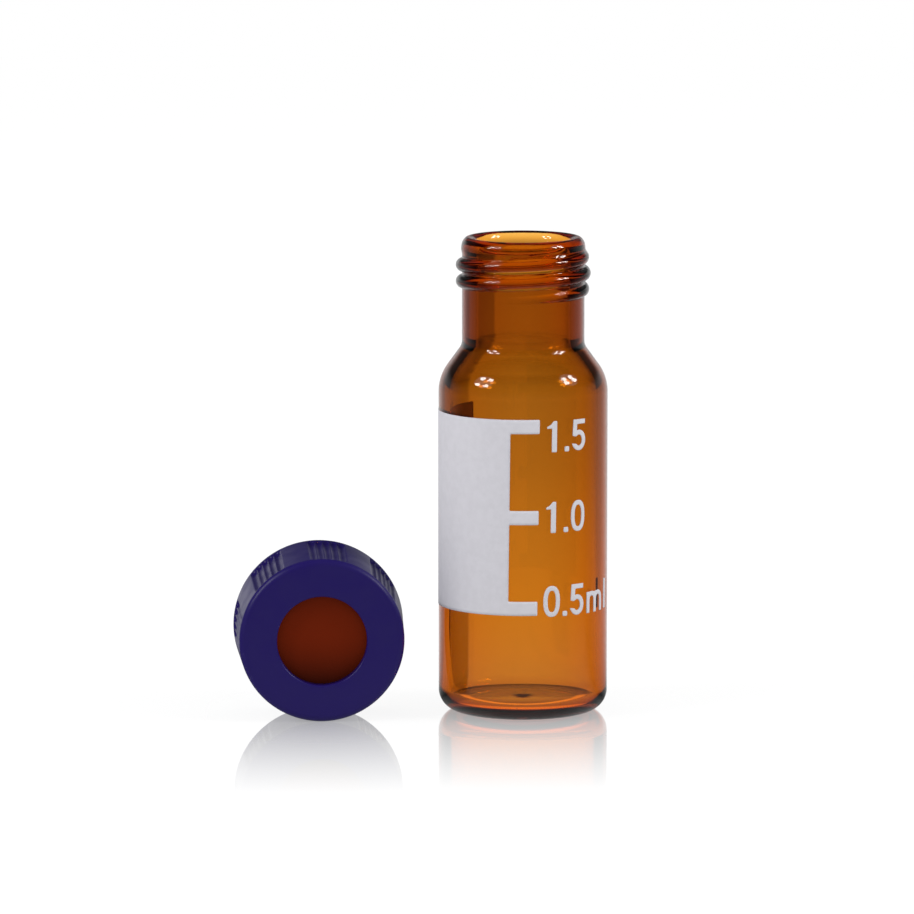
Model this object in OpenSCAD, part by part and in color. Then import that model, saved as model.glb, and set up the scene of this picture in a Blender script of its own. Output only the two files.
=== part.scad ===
// Screw-neck sample vial with its open-hole cap taken off and stood beside it.
// Lengths are in millimetres and angles in degrees. The vial stands on z = 0 with its
// axis on Z, and its front, where the volume scale is, faces -Y.

/* [Glass body] */
// Outer diameter of the body
body_d = 11.5; // [10.8:0.1:12.6]
// Height of the glass from the table to the lip
vial_h = 32.5; // [31:0.5:38]
// Thickness of the body's wall
wall_t = 0.75; // [0.6:0.05:1]
// Thickness of the glass floor
floor_t = 0.9; // [0.7:0.05:1.3]
// Radius of the rounded heel
heel_r = 1.45; // [1:0.05:1.8]
// Radius of the rounded corner inside, between the wall and the floor
inner_heel_r = 0.75; // [0.5:0.05:1.2]
// Width of the flat ring that the vial stands on
foot_w = 0.6; // [0.4:0.1:0.9]
// Depth of the hollow under the base
push_up = 0.3; // [0.1:0.05:0.4]
// Diameter of the shallow dish in the middle of the glass floor
dish_d = 1.9; // [1.8:0.1:4]
// Depth of that dish
dish_t = 0.15; // [0.05:0.05:0.25]

/* [Shoulder and neck] */
// Radius of the curve from the body into the shoulder
shoulder_r = 3.1; // [2:0.1:3.4]
// Angle of the shoulder's slope away from upright
shoulder_angle = 36; // [33:1:45]
// Radius of the curve from the shoulder into the neck
neck_fillet_r = 1.1; // [0.4:0.1:1.2]
// Radius of the curve inside, from the shoulder into the throat
throat_fillet_r = 1.8; // [0.8:0.1:2]
// Outer diameter of the neck, from which the mouth, the lip, the threads and the cap follow
neck_d = 8.3; // [7.8:0.05:9.2]
// Height of the upright neck with its lip
neck_h = 7; // [6.5:0.1:8]
// Thickness of the neck's wall
neck_wall_t = 0.95; // [0.85:0.05:1.4]
// How far the lip stands out from the neck
lip_step = 0.07; // [0.03:0.01:0.2]
// Height of the lip down to the neck
lip_h = 1.15; // [1.05:0.05:1.3]
// Height of the lip's rounded edges
lip_crown_h = 0.8; // [0.3:0.05:0.8]
// Part of the lip's thickness that each of its rounded edges takes
lip_crown_part = 0.48; // [0.2:0.02:0.48]

/* [Screw thread] */
// Height of the neck's thread above the wall
thread_h = 0.43; // [0.36:0.01:0.5]
// Rise of the thread in one turn
thread_pitch = 1.12; // [1.1:0.02:1.3]
// Turns of thread on the neck
neck_turns = 2.65; // [2:0.05:2.75]
// Width of the neck's thread where it leaves the wall
neck_thread_w = 0.92; // [0.7:0.02:0.96]
// Distance from the lip down to the low end of the neck's thread
thread_drop = 3.95; // [3.7:0.05:4.2]
// Where that end lies, as an angle from the X axis
thread_start_angle = -120; // [-180:5:180]
// Part of a turn over which the neck's thread grows and runs out
neck_run_out = 0.48; // [0.14:0.02:0.6]
// Turns of thread in the cap
cap_turns = 2; // [1:0.25:2.25]
// Width of the cap's thread where it leaves the wall
cap_thread_w = 0.5; // [0.4:0.02:0.56]
// Width of the cap's thread at its crest
cap_crest_w = 0.16; // [0.1:0.02:0.2]
// Gap between the neck's thread and the wall of the cap
thread_gap = 0.15; // [0.1:0.01:0.25]
// Where the cap's thread starts at the open end, as an angle round the cap
cap_thread_angle = 0; // [-180:5:180]
// Gap between the cap's thread and the wall of the neck
crest_gap = 0.22; // [0.15:0.01:0.26]

/* [Print on the glass] */
// Thickness of the fired print
print_t = 0.03; // [0.02:0.01:0.06]
// Height of the lowest mark of the scale, at half a millilitre
first_mark_z = 7.85; // [7:0.05:9]
// Height from one mark to the next
mark_step = 6.2; // [5.6:0.1:6.3]
// Thickness of the bar at each mark
bar_t = 0.96; // [0.6:0.02:1.2]
// Where the white field ends at the front, as an angle round the body
field_front_angle = -9.5; // [-20:0.5:-5]
// Where the white field ends at the back
field_back_angle = -139; // [-170:1:-110]
// How far the bars reach past the field
bar_reach_angle = 19.5; // [14:0.5:20]
// Height of a figure
figure_h = 2.1; // [1.6:0.05:2.4]
// Width of a figure
figure_w = 1.18; // [1:0.02:1.3]
// Thickness of a figure's strokes
stroke_t = 0.34; // [0.24:0.02:0.4]
// Height from one row of figures to the next
row_step = 5.65; // [5.2:0.05:6.2]

/* [Cap] */
// Thickness of the skirt's wall at its open end
skirt_t = 1.08; // [0.95:0.01:1.4]
// Height of the cap
cap_h = 6.3; // [6.2:0.1:7]
// Angle at which the skirt narrows towards the top
draft_angle = 2; // [1:0.5:2.5]
// Diameter of the hole in the top
cap_hole_d = 6.1; // [5.5:0.1:6.5]
// Thickness of the top plate
plate_t = 0.7; // [0.6:0.05:0.8]
// Radius of the rounded edge of the top
cap_edge_r = 0.45; // [0.3:0.05:0.5]
// Radius of the rounded edge of the hole
hole_edge_r = 0.15; // [0.05:0.05:0.25]
// Grip panels round the skirt
grip_panels = 8; // [4:1:8]
// Grooves in each grip panel
panel_grooves = 5; // [2:1:6]
// Angle from one groove to the next
groove_angle = 5; // [4.8:0.1:5.2]
// Radius of a groove's round section
groove_r = 0.3; // [0.28:0.01:0.32]
// How far a groove's centre line lies outside the skirt
groove_out = 0.1; // [0.08:0.01:0.14]
// Plain rim between the open end and the grooves
rim_band = 0.5; // [0.4:0.05:1.5]
// Smooth band between the grooves and the top
groove_stop = 0.55; // [0.5:0.05:1]
// Turn of the grip panels from the line that the cap lies on
panel_turn_angle = -5; // [-22:0.5:22]
// Radius of the bead that keeps the septum in the cap
bead_r = 0.2; // [0.15:0.01:0.25]

/* [Septum] */
// Thickness of the rubber disc
septum_t = 1; // [0.8:0.05:1.1]
// Thickness of the facing film on the side towards the vial
facing_t = 0.12; // [0.08:0.01:0.2]
// Gap between the septum and the wall of the cap
septum_gap = 0.1; // [0.05:0.01:0.12]

/* [Where the cap stands] */
// Distance from the vial's axis to the middle of the cap
cap_apart = 14; // [13:0.1:20]
// Distance of the cap's open end behind the vial's axis
cap_back = 0.75; // [-2:0.05:3]
// Angle by which the cap's top is turned towards the vial
cap_turn_angle = 3.5; // [0:0.5:20]

/* [Hidden] */
$fn = 96;

// Points along a quarter round, and along a groove's end
ARC_STEPS = 8;
// Rings of the threads in one turn, and points over a neck thread's crest
TURN_STEPS = 30;
CREST_STEPS = 6;
// Part of a turn over which the cap's thread runs out, and how deep a thread's end lies in the wall
CAP_RUN_OUT = 0.14;
END_SINK = 0.06;
// Width of the neck thread's end, as a share of its full width
NECK_END_WIDTH = 0.5;
// How deep the curve of a thread starts in the wall, and how deep its foot is
CURVE_SINK = 0.08;
ROOT_SINK = 0.2;
// How far a cutting shape reaches past what it cuts
PAST = 0.5;
PAST_ANGLE = 1;
// Angle from the front of the vial to its X axis, and the turn that lays the cap on its side
FRONT = 90;
LAID = 90;

// Glass
body_r = body_d / 2;
bore_r = body_r - wall_t;
neck_r = neck_d / 2;
mouth_r = neck_r - neck_wall_t;
lip_r = neck_r + lip_step;
lip_crown_w = (lip_r - mouth_r) * lip_crown_part;
foot_r = body_r - heel_r;
neck_z = vial_h - neck_h;
throat_inner_r = shoulder_r - wall_t;
shoulder_z = neck_z - slope_height(body_r - neck_r, shoulder_r, neck_fillet_r);
throat_z = shoulder_z + slope_height(bore_r - mouth_r, throat_inner_r, throat_fillet_r);

// Threads
thread_z = vial_h - thread_drop;
cap_bore_r = neck_r + thread_h + thread_gap;
cap_thread_h = cap_bore_r - (neck_r + crest_gap);

// Cap and septum, measured along the cap's own axis from its open end
cap_r = cap_bore_r + skirt_t;
septum_r = cap_bore_r - septum_gap;
septum_z = cap_h - plate_t - septum_t;
facing_z = septum_z - facing_t;
bead_z = facing_z - bead_r;
cap_thread_rise = thread_pitch * cap_turns;
cap_thread_z = (bead_z - bead_r - cap_thread_rise) / 2;
groove_axis_r = cap_r + groove_out;
// The skirt lies on the table along its slope, on the plain rim and on the smooth band
cap_axis_z = cap_r * cos(draft_angle);

// Print
bar_end_angle = field_front_angle + bar_reach_angle;
middle_z = first_mark_z + mark_step;
// Angles round the glass at which the figures and letters of a row stand
FIRST_FIGURE_ANGLE = 20.2;
POINT_ANGLE = 30;
SECOND_FIGURE_ANGLE = 39.7;
LETTER_M_ANGLE = 57.9;
LETTER_L_ANGLE = 73.4;
// Their shapes, as shares of a figure's height or width, or of a stroke's thickness
M_WIDTH = 1.6;
M_HEIGHT = 0.68;
L_HEIGHT = 0.96;
POINT_WIDTH = 1.1;
STEM_BACK = 0.43;
FLAG_REACH = 1.3;
FLAG_SLOPE = 1.2;
FIVE_NECK = 0.8;
FIVE_TOP = 0.9;
FIVE_BOWL = 0.31;
FIVE_GAP_LOW = 0.7;
FIVE_GAP_HIGH = 1.35;
// The letters of the unit, as shares of a figure
m_w = figure_w * M_WIDTH;
m_h = figure_h * M_HEIGHT;

// Height of a slope that turns from upright, through two curves and a straight, and back to upright
function slope_height(run, r_low, r_high) =
    (r_low + r_high) * sin(shoulder_angle)
    + (run - (r_low + r_high) * (1 - cos(shoulder_angle))) / tan(shoulder_angle);

// Points of an oval's arc about [cx, cy], rx wide and ry high from its middle, from angle a0 to a1
function oval(cx, cy, rx, ry, a0, a1) =
    [for (i = [0:ARC_STEPS]) let (a = a0 + (a1 - a0) * i / ARC_STEPS) [cx + rx * cos(a), cy + ry * sin(a)]];

// Points of a round arc
function arc(cx, cy, r, a0, a1) = oval(cx, cy, r, r, a0, a1);

function reversed(points) = [for (i = [len(points) - 1:-1:0]) points[i]];

// A slope from radius r_low at z_low up to radius r_high at z_high
function slope(r_low, z_low, round_low, r_high, z_high, round_high) = concat(
    arc(r_low - round_low, z_low, round_low, 0, shoulder_angle),
    arc(r_high + round_high, z_high, round_high, 180 + shoulder_angle, 180)
);

// The hollow under the base, a shallow dome, from the middle out
function dome(r, h) =
    let (ball = (r * r + h * h) / (2 * h), half = asin(r / ball))
    arc(0, h - ball, ball, 90, 90 - half);

// Outline of the glass from the middle of the base up to the lip
function glass_outside() = concat(
    dome(foot_r - foot_w, push_up),
    arc(foot_r, heel_r, heel_r, -90, 0),
    slope(body_r, shoulder_z, shoulder_r, neck_r, neck_z, neck_fillet_r),
    [[neck_r, vial_h - lip_h], [lip_r, vial_h - lip_h + (lip_r - neck_r)]],
    oval(lip_r - lip_crown_w, vial_h - lip_crown_h, lip_crown_w, lip_crown_h, 0, 90)
);

// Outline of the space inside, from the middle of the floor up to the mouth
function glass_inside() = concat(
    [[0, floor_t - dish_t]],
    [
        for (i = [1:ARC_STEPS])
            let (u = i / ARC_STEPS) [dish_d / 2 * u, floor_t - dish_t * (1 + cos(180 * u)) / 2]
    ],
    arc(bore_r - inner_heel_r, floor_t + inner_heel_r, inner_heel_r, -90, 0),
    slope(bore_r, shoulder_z, throat_inner_r, mouth_r, throat_z, throat_fillet_r),
    oval(mouth_r + lip_crown_w, vial_h - lip_crown_h, lip_crown_w, lip_crown_h, 180, 90)
);

// How far a thread has grown at a share u of its length: 0 at its ends and 1 between them
function growth(u, turns, run_out) =
    let (t = min(1, min(u, 1 - u) * turns / run_out))
    t * t * (3 - 2 * t);

// A thread's section, as distances out from the wall and along it. This one is a half round.
function round_section(h, w) = concat(
    [[-ROOT_SINK, -w / 2]],
    [
        for (i = [0:CREST_STEPS])
            let (a = -90 + 180 * i / CREST_STEPS)
            [(h + CURVE_SINK) * cos(a) - CURVE_SINK, w / 2 * sin(a)]
    ],
    [[-ROOT_SINK, w / 2]]
);

// And this one a ridge with straight flanks
function flat_section(h, w, crest) =
    let (foot = crest + (w - crest) * (h + ROOT_SINK) / h)
    [[-ROOT_SINK, -foot / 2], [h, -crest / 2], [h, crest / 2], [-ROOT_SINK, foot / 2]];

// A right-hand thread on a wall of radius r, outwards with side 1 and inwards with side -1.
// Its ends run out over a part of a turn, down to a share of its width.
module thread(section, r, side, turns, from_angle, from_z, run_out, end_width) {
    n = len(section);
    rings = round(TURN_STEPS * turns);
    points = [
        for (i = [0:rings])
            let (
                u = i / rings,
                g = growth(u, turns, run_out),
                wide = g + end_width * (1 - g),
                a = from_angle + 360 * turns * u
            )
            for (p = section)
                let (out = p[0] < 0 ? p[0] : p[0] * g - END_SINK * (1 - g), q = r + side * out)
                [q * cos(a), q * sin(a), from_z + thread_pitch * turns * u + p[1] * wide]
    ];
    sides = [
        for (i = [0:rings - 1])
            for (j = [0:n - 1])
                let (k = (j + 1) % n, a = i * n + j, b = i * n + k)
                for (face = [[a, b, b + n], [a, b + n, a + n]]) face
    ];
    first = [for (j = [1:n - 2]) [0, j + 1, j]];
    last = [for (j = [1:n - 2]) [rings * n, rings * n + j, rings * n + j + 1]];
    faces = concat(sides, first, last);
    polyhedron(points, side > 0 ? faces : [for (f = faces) reversed(f)]);
}

module vial_glass() {
    color([0.62, 0.33, 0.06, 0.75])
        union() {
            rotate_extrude() polygon(concat(glass_outside(), reversed(glass_inside())));
            thread(
                round_section(thread_h, neck_thread_w),
                neck_r, 1, neck_turns, thread_start_angle, thread_z, neck_run_out, NECK_END_WIDTH
            );
        }
}

// A band between two angles round the body, counted from the front, and two depths from its wall
module band(from_angle, to_angle, from_t, to_t, z, h) {
    rotate([0, 0, from_angle - FRONT])
        rotate_extrude(angle = to_angle - from_angle)
            translate([body_r + from_t, z]) square([to_t - from_t, h]);
}

// The white field with three bars, which two windows leave between them
module write_on_patch() {
    color([0.86, 0.86, 0.88])
        difference() {
            band(field_back_angle, bar_end_angle, 0, print_t,
                first_mark_z - bar_t / 2, 2 * mark_step + bar_t);
            for (i = [0:1])
                band(field_front_angle, bar_end_angle + PAST_ANGLE, -PAST, print_t + PAST,
                    first_mark_z + i * mark_step + bar_t / 2, mark_step - bar_t);
        }
}

// Wraps a flat shape, drawn round its own middle, on the glass at an angle and a height
module on_glass(angle, z) {
    intersection() {
        translate([0, 0, z - figure_h])
            difference() {
                cylinder(r = body_r + print_t, h = 2 * figure_h);
                translate([0, 0, -PAST]) cylinder(r = body_r, h = 2 * figure_h + 2 * PAST);
            }
        rotate([0, 0, angle])
            translate([0, -body_r / 2, z])
                rotate([90, 0, 0]) linear_extrude(height = body_r) children();
    }
}

// A stroke from one corner to the opposite one
module stroke(x0, y0, x1, y1) {
    translate([min(x0, x1), min(y0, y1)]) square([abs(x1 - x0), abs(y1 - y0)]);
}

// An upright loop with round ends
module loop_shape(w, h) {
    union() {
        for (s = [-1, 1])
            translate([0, s * (h - w) / 2]) circle(d = w);
        square([w, h - w], center = true);
    }
}

module figure_zero() {
    difference() {
        loop_shape(figure_w, figure_h);
        loop_shape(figure_w - 2 * stroke_t, figure_h - 2 * stroke_t);
    }
}

module figure_one() {
    h = figure_h / 2;
    translate([-stroke_t * STEM_BACK, 0])
        union() {
            stroke(0, -h, stroke_t, h);
            polygon([
                [0, h],
                [0, h - stroke_t * FLAG_SLOPE],
                [-stroke_t * FLAG_REACH, h - stroke_t * 2],
                [-stroke_t * FLAG_REACH, h - stroke_t]
            ]);
        }
}

module figure_five() {
    w = figure_w / 2;
    h = figure_h / 2;
    bowl_r = figure_h * FIVE_BOWL;
    union() {
        stroke(-w * FIVE_NECK, h - stroke_t, w * FIVE_TOP, h);
        stroke(-w * FIVE_NECK, 0, stroke_t - w * FIVE_NECK, h);
        difference() {
            translate([w - bowl_r, bowl_r - h]) circle(r = bowl_r);
            translate([w - bowl_r, bowl_r - h]) circle(r = bowl_r - stroke_t);
            stroke(-w - PAST, bowl_r * FIVE_GAP_LOW - h, w - bowl_r, bowl_r * FIVE_GAP_HIGH - h);
        }
    }
}

module decimal_point() {
    square([stroke_t * POINT_WIDTH, stroke_t], center = true);
}

module letter_m() {
    arch_d = (m_w + stroke_t) / 2;
    union() {
        for (i = [0:2])
            translate([(i - 1) * (arch_d - stroke_t) - stroke_t / 2, -m_h / 2])
                square([stroke_t, m_h - arch_d / 2]);
        for (s = [-1, 1])
            translate([s * (arch_d - stroke_t) / 2, m_h / 2 - arch_d / 2])
                difference() {
                    circle(d = arch_d);
                    circle(d = arch_d - 2 * stroke_t);
                    translate([-arch_d, -2 * arch_d]) square(2 * arch_d);
                }
        stroke(-m_w / 2, 0, -m_w / 2 + stroke_t, m_h / 2);
    }
}

module letter_l() {
    square([stroke_t, figure_h * L_HEIGHT], center = true);
}

// The figures of one row: a figure, a decimal point, and another figure
module figure_row(z) {
    on_glass(FIRST_FIGURE_ANGLE, z) children(0);
    on_glass(POINT_ANGLE, z - (figure_h - stroke_t) / 2) decimal_point();
    on_glass(SECOND_FIGURE_ANGLE, z) children(1);
}

module scale_figures() {
    color([0.9, 0.9, 0.92])
        union() {
            figure_row(middle_z + row_step) {
                figure_one();
                figure_five();
            }
            figure_row(middle_z) {
                figure_one();
                figure_zero();
            }
            figure_row(middle_z - row_step) {
                figure_zero();
                figure_five();
            }
            on_glass(LETTER_M_ANGLE, middle_z - row_step - (figure_h - m_h) / 2) letter_m();
            on_glass(LETTER_L_ANGLE, middle_z - row_step) letter_l();
        }
}

// Puts a shape, drawn with its open end on z = 0, where the cap stands
module as_cap_stands() {
    translate([-cap_apart, cap_back, cap_axis_z])
        rotate([LAID + draft_angle, 0, cap_turn_angle]) children();
}

// Radius of the skirt at a height above the open end
function skirt_r(z) = cap_r - z * tan(draft_angle);

module cap_shell() {
    edge_x = skirt_r(cap_h - cap_edge_r) - cap_edge_r;
    hole_r = cap_hole_d / 2;
    rotate_extrude()
        polygon(concat(
            [[cap_bore_r, 0], [cap_r, 0]],
            arc(edge_x, cap_h - cap_edge_r, cap_edge_r, 0, 90),
            arc(hole_r + hole_edge_r, cap_h - hole_edge_r, hole_edge_r, 90, 180),
            [[hole_r, cap_h - plate_t], [cap_bore_r, cap_h - plate_t]],
            arc(cap_bore_r, bead_z, bead_r, 90, 270)
        ));
}

// Angle of a groove from the middle of its panel
function groove_place(i) = (i - (panel_grooves - 1) / 2) * groove_angle;

module grip_grooves() {
    for (panel = [0:grip_panels - 1])
        for (groove = [0:panel_grooves - 1])
            rotate([0, 0, panel * 360 / grip_panels + groove_place(groove) + panel_turn_angle])
                translate([groove_axis_r, 0, 0])
                    rotate([0, -draft_angle, 0])
                        translate([0, 0, rim_band])
                            cylinder(r = groove_r, h = cap_h - groove_stop - rim_band);
}

module cap() {
    color([0.12, 0.08, 0.42])
        as_cap_stands()
            union() {
                difference() {
                    cap_shell();
                    grip_grooves();
                }
                thread(
                    flat_section(cap_thread_h, cap_thread_w, cap_crest_w),
                    cap_bore_r, -1, cap_turns, cap_thread_angle, cap_thread_z, CAP_RUN_OUT, 1
                );
            }
}

module septum() {
    color([0.42, 0.12, 0.03])
        as_cap_stands()
            translate([0, 0, septum_z]) cylinder(r = septum_r, h = septum_t);
}

module septum_facing() {
    color([0.88, 0.84, 0.74])
        as_cap_stands()
            translate([0, 0, facing_z]) cylinder(r = septum_r, h = facing_t);
}

vial_glass();
write_on_patch();
scale_figures();
cap();
septum();
septum_facing();
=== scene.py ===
"""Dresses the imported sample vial: amber glass, fired print, and the open-hole cap stood beside it."""

import math

import bpy
import numpy as np
from bpy.props import FloatProperty, FloatVectorProperty, IntProperty, PointerProperty
from bpy.types import Operator, Panel, PropertyGroup
from mathutils import Matrix, Vector
from mathutils.geometry import delaunay_2d_cdt


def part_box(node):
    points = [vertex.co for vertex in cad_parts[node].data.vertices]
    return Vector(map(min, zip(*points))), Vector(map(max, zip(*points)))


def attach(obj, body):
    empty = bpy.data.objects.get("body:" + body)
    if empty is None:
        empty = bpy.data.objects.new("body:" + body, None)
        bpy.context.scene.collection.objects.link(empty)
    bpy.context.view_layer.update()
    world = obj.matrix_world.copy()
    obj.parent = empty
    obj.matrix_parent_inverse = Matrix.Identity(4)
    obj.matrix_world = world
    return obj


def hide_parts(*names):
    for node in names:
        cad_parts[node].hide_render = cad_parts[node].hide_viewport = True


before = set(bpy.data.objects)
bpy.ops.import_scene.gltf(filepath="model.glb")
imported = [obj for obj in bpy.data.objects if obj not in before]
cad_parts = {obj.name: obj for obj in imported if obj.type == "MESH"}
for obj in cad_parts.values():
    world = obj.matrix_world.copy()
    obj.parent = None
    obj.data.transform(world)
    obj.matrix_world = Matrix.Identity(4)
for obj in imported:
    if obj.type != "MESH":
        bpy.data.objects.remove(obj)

bl_info = {
    "name": "Glass sample vial",
    "version": (1, 0, 0),
    "blender": (4, 5, 0),
    "location": "3D Viewport > Sidebar > Vial",
    "description": "Makes a screw-neck sample vial, its print, its cap and a white studio round them",
    "category": "Object",
}

MM = 0.001
TURN = 2 * math.pi
# Vertices closer together than this become one
WELD = 0.0005 * MM
# Corners of a print that turn by more than this are rounded
SHARP = math.radians(20)
# Half the width of the scale's point, as a share of the stroke
POINT_HALF = 0.55

# What the frame says of the vial and its print, in metres
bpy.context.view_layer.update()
GLASS_LOW, GLASS_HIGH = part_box("vial_glass")
PATCH_LOW, PATCH_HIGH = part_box("write_on_patch")
BODY_R = GLASS_HIGH.x
VIAL_H = GLASS_HIGH.z


def length(label, text, default, **more):
    """A size in metres that a user can change."""
    return FloatProperty(name=label, description=text, default=default, unit="LENGTH", precision=6, **more)


def angle(label, text, degrees):
    """An angle that a user can change."""
    return FloatProperty(name=label, description=text, default=math.radians(degrees), subtype="ANGLE")


def colour(label, text, default):
    """A colour that a user can change."""
    return FloatVectorProperty(
        name=label, description=text, default=default, size=3, subtype="COLOR", min=0, max=1
    )


class VialGlassSizes(PropertyGroup):
    """Sizes of the glass. Its height and its body's radius come from the frame."""

    wall: length("Wall", "Thickness of the body's wall", 0.75 * MM)
    floor: length("Floor", "Thickness of the glass floor", 0.9 * MM)
    heel: length("Heel", "Radius of the rounded heel", 1.45 * MM)
    inner_heel: length("Inner heel", "Radius of the corner inside, between wall and floor", 0.75 * MM)
    foot: length("Foot", "Width of the ring that the vial stands on", 0.6 * MM)
    push_up: length("Hollow base", "Depth of the hollow under the base", 0.3 * MM)
    dish: length("Dish", "Diameter of the shallow dish in the floor", 1.9 * MM)
    dish_depth: length("Dish depth", "Depth of that dish", 0.15 * MM)
    shoulder: length("Shoulder", "Radius of the curve from the body into the shoulder", 3.1 * MM)
    shoulder_slope: angle("Shoulder slope", "Angle of the slope away from upright", 36)
    neck_fillet: length("Neck curve", "Radius of the curve from the shoulder into the neck", 1.1 * MM)
    throat_fillet: length("Throat curve", "Radius of that curve inside", 1.8 * MM)
    neck_r: length("Neck radius", "Outer radius of the neck", 4.15 * MM)
    neck_wall: length("Neck wall", "Thickness of the neck's wall", 0.95 * MM)
    neck_height: length("Neck height", "Height of the upright neck with its lip", 7 * MM)
    lip_step: length("Lip step", "How far the lip stands out from the neck", 0.07 * MM)
    lip_height: length("Lip height", "Height of the lip", 1.15 * MM)
    lip_round: length("Lip rounding", "Width of the lip's rounded edges", 0.49 * MM)
    lip_crown: length("Lip crown", "Height of the lip's rounded edges", 0.8 * MM)
    thread_height: length("Thread height", "Height of the thread above the neck", 0.43 * MM)
    thread_width: length("Thread width", "Width of the thread at the neck", 0.92 * MM)
    thread_pitch: length("Thread pitch", "Rise of the thread in one turn", 1.12 * MM)
    thread_drop: length("Thread drop", "From the lip down to the thread's low end", 3.95 * MM)
    thread_turns: FloatProperty(name="Thread turns", description="Turns of the thread", default=2.65, min=0.5)
    run_out: FloatProperty(name="Run out", description="Turn over which each end fades", default=0.48)
    thread_start: angle("Thread start", "Where the low end lies, from the X axis", -120)
    segments: IntProperty(name="Segments", description="Facets round the glass", default=256, min=32)


class PrintSizes(PropertyGroup):
    """Sizes of the fired print. Its lowest and highest edge come from the frame."""

    thickness: length("Thickness", "How far the print stands out from the glass", 0.028 * MM)
    sink: length("Sink", "How deep the print has fused into the glass", 0.012 * MM)
    lean: angle("Lean", "How far the print's top is turned against its foot", 1.6)
    bar: length("Bar", "Thickness of the bar at each mark", 0.96 * MM)
    field_front: angle("Field's front", "Where the white field ends at the front, from the front", -9.7)
    field_back: angle("Field's back", "Where the white field ends at the back", -139)
    bar_end: angle("Bar's end", "Where the bars end", 10)
    corner: length("Corner", "Rounding of the print's corners", 0.09 * MM)
    figure_height: length("Figure height", "Height of a figure", 2.12 * MM)
    figure_width: length("Figure width", "Width of a figure", 1.18 * MM)
    stroke: length("Stroke", "Thickness of a figure's strokes", 0.32 * MM)
    upper_row: length("Upper row", "Height of the upper row of figures over the middle one", 5.5 * MM)
    lower_row: length("Lower row", "Depth of the lower row of figures under the middle one", 5.74 * MM)


class CapSizes(PropertyGroup):
    """Sizes of the cap. Its place comes from the septum in the frame."""

    height: length("Height", "Height of the cap", 6.3 * MM)
    bore: length("Bore", "Radius of the bore", 4.73 * MM)
    skirt: length("Skirt", "Thickness of the skirt at its open end", 1.08 * MM)
    draft: angle("Draft", "Angle at which the skirt narrows towards the top", 2)
    hole: length("Hole", "Radius of the hole in the top", 3.05 * MM)
    plate: length("Plate", "Thickness of the top plate", 0.7 * MM)
    edge: length("Edge", "Radius of the rounded edge of the top", 0.45 * MM)
    hole_edge: length("Hole's edge", "Radius of the rounded edge of the hole", 0.15 * MM)
    rim: length("Rim", "Radius of the rounded edges at the open end", 0.12 * MM)
    panels: IntProperty(name="Grip panels", description="Grip panels round the skirt", default=8, min=1)
    grooves: IntProperty(name="Grooves", description="Grooves in each panel", default=5, min=1)
    groove_step: angle("Groove step", "Angle from one groove to the next", 5)
    groove_radius: length("Groove radius", "Radius of a groove's round section", 0.3 * MM)
    groove_out: length("Groove out", "How far a groove's middle lies outside the skirt", 0.1 * MM)
    rim_band: length("Rim band", "Plain band between the open end and the grooves", 0.5 * MM)
    groove_stop: length("Smooth band", "Band between the grooves and the top", 0.55 * MM)
    panel_turn: angle("Panel turn", "Turn of the grip panels from the line that the cap lies on", -5)
    bead: length("Bead", "Radius of the bead that keeps the septum in", 0.2 * MM)
    stack: length("Septum stack", "Thickness of the septum with its facing", 1.12 * MM)
    thread_height: length("Thread height", "Height of the thread inside", 0.36 * MM)
    thread_width: length("Thread width", "Width of that thread at the bore", 0.62 * MM)
    thread_pitch: length("Thread pitch", "Rise of that thread in one turn", 1.12 * MM)
    thread_turns: FloatProperty(name="Thread turns", description="Turns of that thread", default=2, min=0.5)
    segments: IntProperty(name="Segments", description="Facets round the cap", default=576, min=72)


class FinishColours(PropertyGroup):
    """Colours of the finishes."""

    enamel: colour("Enamel", "White of the fired print", (0.62, 0.61, 0.655))
    cap: colour("Cap", "Blue-violet of the cap", (0.0125, 0.005, 0.108))
    septum: colour("Septum", "Red-brown of the rubber", (0.15, 0.013, 0.001))
    facing: colour("Facing", "Pale film behind the rubber", (0.72, 0.66, 0.52))
    amber_clear: colour("Amber", "Share of light that passes one millimetre of glass", (0.74, 0.336, 0.045))


class Number:
    """A number that a node puts out. Sums on it add Math nodes."""

    def __init__(self, tree, socket):
        self.tree = tree
        self.socket = socket

    def of(self, name):
        """Another output of the same node."""
        return Number(self.tree, self.socket.node.outputs[name])

    def math(self, operation, *others):
        return self.tree.math(operation, self, *others)

    def at_least(self, other):
        return self.math("MAXIMUM", other)

    def at_most(self, other):
        return self.math("MINIMUM", other)

    def __abs__(self):
        return self.math("ABSOLUTE")

    def __add__(self, other):
        return self.math("ADD", other)

    def __sub__(self, other):
        return self.math("SUBTRACT", other)

    def __mul__(self, other):
        return self.math("MULTIPLY", other)

    def __truediv__(self, other):
        return self.math("DIVIDE", other)

    def __pow__(self, other):
        return self.math("POWER", other)

    def __rsub__(self, other):
        return self.tree.math("SUBTRACT", other, self)

    def __rtruediv__(self, other):
        return self.tree.math("DIVIDE", other, self)

    def __neg__(self):
        return self * -1

    __radd__ = __add__
    __rmul__ = __mul__


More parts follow.
